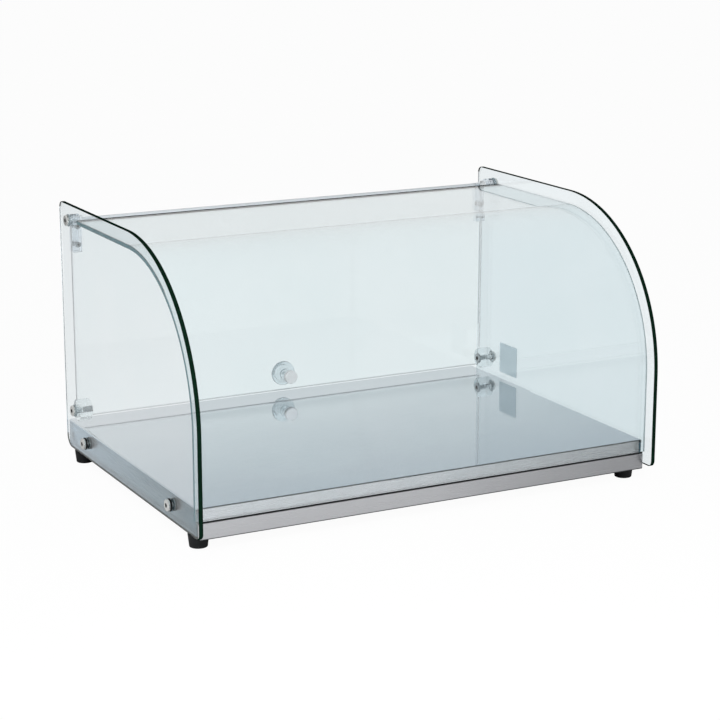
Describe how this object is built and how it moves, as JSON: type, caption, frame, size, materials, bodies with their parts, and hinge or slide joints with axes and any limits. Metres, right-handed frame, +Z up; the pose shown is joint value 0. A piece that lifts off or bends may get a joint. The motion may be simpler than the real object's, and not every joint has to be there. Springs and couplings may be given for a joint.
{
  "type": "glass counter-top display case",
  "caption": "Counter-top food display case: bent front glass between two flat side glasses on a flat steel base, with a glass flap door at the rear on clear hinges.",
  "frame": {"origin": "middle of the footprint, on the counter that the feet stand on", "axes": "+X to the case's right as seen from the customer's side, along the bent glass; +Y to the rear, where the door is; +Z up"},
  "size_m": [0.564, 0.3952, 0.306],
  "materials": {
    "side_glass": "clear 5 mm float glass with polished dark green edges",
    "bent_glass": "clear 5 mm float glass, bent, with polished edges",
    "door_glass": "clear 5 mm float glass with ground edges",
    "deck_steel": "bright stainless sheet, close to a mirror, with faint brushing along the case",
    "brushed_sheet": "stainless sheet brushed lengthwise, satin",
    "plated_steel": "bright plated steel screws and bolts",
    "black_rubber": "matt black moulded rubber",
    "clear_plastic": "clear moulded plastic, glossy",
    "frosted_plastic": "cloudy moulded plastic, satin",
    "film": "thin pale blue-grey film, plain and matt"
  },
  "bodies": {
    "case": {"side_glass_left": "side_glass", "side_glass_right": "side_glass", "front_glass": "bent_glass", "front_seat_strip": "black_rubber", "front_rail": "brushed_sheet", "front_fascia": "brushed_sheet", "top_plate": "deck_steel", "side_panel_left": "brushed_sheet", "side_panel_right": "brushed_sheet", "rear_panel": "brushed_sheet", "bottom_cover": "brushed_sheet", "foot_front_left": "black_rubber", "foot_front_right": "black_rubber", "foot_rear_left": "black_rubber", "foot_rear_right": "black_rubber", "foot_screw_front_left": "plated_steel", "foot_screw_front_right": "plated_steel", "foot_screw_rear_left": "plated_steel", "foot_screw_rear_right": "plated_steel", "base_bolt_front_left": "plated_steel", "base_bolt_front_right": "plated_steel", "base_bolt_rear_left": "plated_steel", "base_bolt_rear_right": "plated_steel", "base_washer_front_left": "black_rubber", "base_washer_front_right": "black_rubber", "base_washer_rear_left": "black_rubber", "base_washer_rear_right": "black_rubber", "base_spacer_front_left": "black_rubber", "base_spacer_front_right": "black_rubber", "base_spacer_rear_left": "black_rubber", "base_spacer_rear_right": "black_rubber", "pivot_bolt_left": "plated_steel", "pivot_bolt_right": "plated_steel", "pivot_washer_left": "black_rubber", "pivot_washer_right": "black_rubber", "pivot_nut_left": "plated_steel", "pivot_nut_right": "plated_steel", "door_stop_left": "clear_plastic", "door_stop_right": "clear_plastic", "stop_bolt_left": "plated_steel", "stop_bolt_right": "plated_steel", "stop_washer_left": "black_rubber", "stop_washer_right": "black_rubber", "stop_screw_left": "plated_steel", "stop_screw_right": "plated_steel", "blank_film": "film"},
    "rear_door": {"rear_door_glass": "door_glass", "hinge_left": "clear_plastic", "hinge_right": "clear_plastic", "hinge_backing_left": "clear_plastic", "hinge_backing_right": "clear_plastic", "hinge_screw_upper_left": "plated_steel", "hinge_screw_upper_right": "plated_steel", "hinge_screw_lower_left": "plated_steel", "hinge_screw_lower_right": "plated_steel", "door_knob": "clear_plastic", "knob_button": "frosted_plastic", "knob_screw": "plated_steel", "knob_washer": "black_rubber"}
  },
  "joints": [
    {"name": "rear_door_hinge", "type": "hinge", "parent": "case", "child": "rear_door", "pos_m": [0, 0.1594, 0.2885], "axis": [1, 0, 0], "range_deg": [0, 100]}
  ]
}
